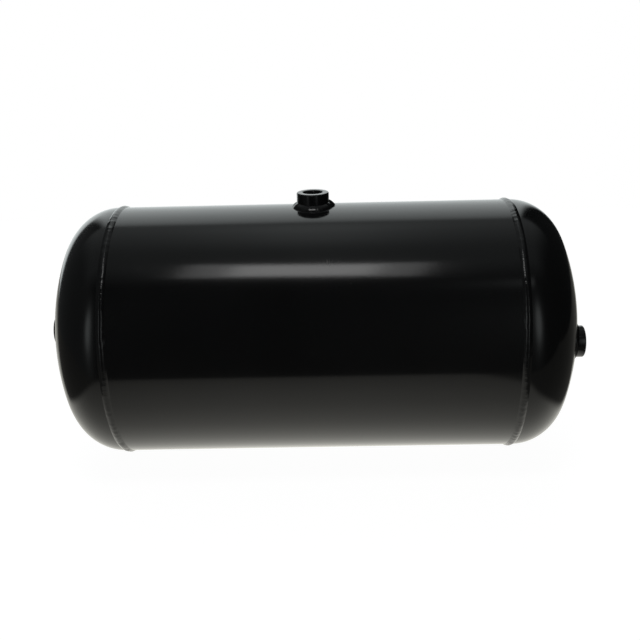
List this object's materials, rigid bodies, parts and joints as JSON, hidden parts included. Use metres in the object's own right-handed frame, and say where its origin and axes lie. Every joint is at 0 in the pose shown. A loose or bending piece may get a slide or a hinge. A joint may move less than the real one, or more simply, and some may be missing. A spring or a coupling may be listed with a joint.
{
  "type": "compressed air reservoir",
  "caption": "Horizontal welded steel air reservoir with dished heads, a threaded port on the shell and a threaded port in each head.",
  "frame": {"origin": "on the tank's axis, halfway between the crowns of the two heads, which is the middle of the strap seat", "axes": "+X along the tank towards the head with the offset port, +Z along the axis of the shell port, +Y towards the back"},
  "size_m": [0.5917, 0.28, 0.2933],
  "materials": {
    "black_paint": "semi-gloss baked black paint over pressed and rolled steel",
    "weld_paint": "the same paint over rippled weld beads",
    "port_paint": "the same paint over turned steel, thinner on the edges and in the thread",
    "plate_paint": "black paint over a thin flat plate"
  },
  "bodies": {
    "root": {"shell": "black_paint", "shell_seam_weld": "weld_paint", "left_head": "black_paint", "right_head": "black_paint", "left_girth_weld": "weld_paint", "right_girth_weld": "weld_paint", "shell_port_boss": "port_paint", "left_port_boss": "port_paint", "right_port_boss": "port_paint", "shell_port_weld": "weld_paint", "left_port_weld": "weld_paint", "right_port_weld": "weld_paint", "data_plate": "plate_paint", "data_plate_tacks": "weld_paint"}
  },
  "joints": []
}
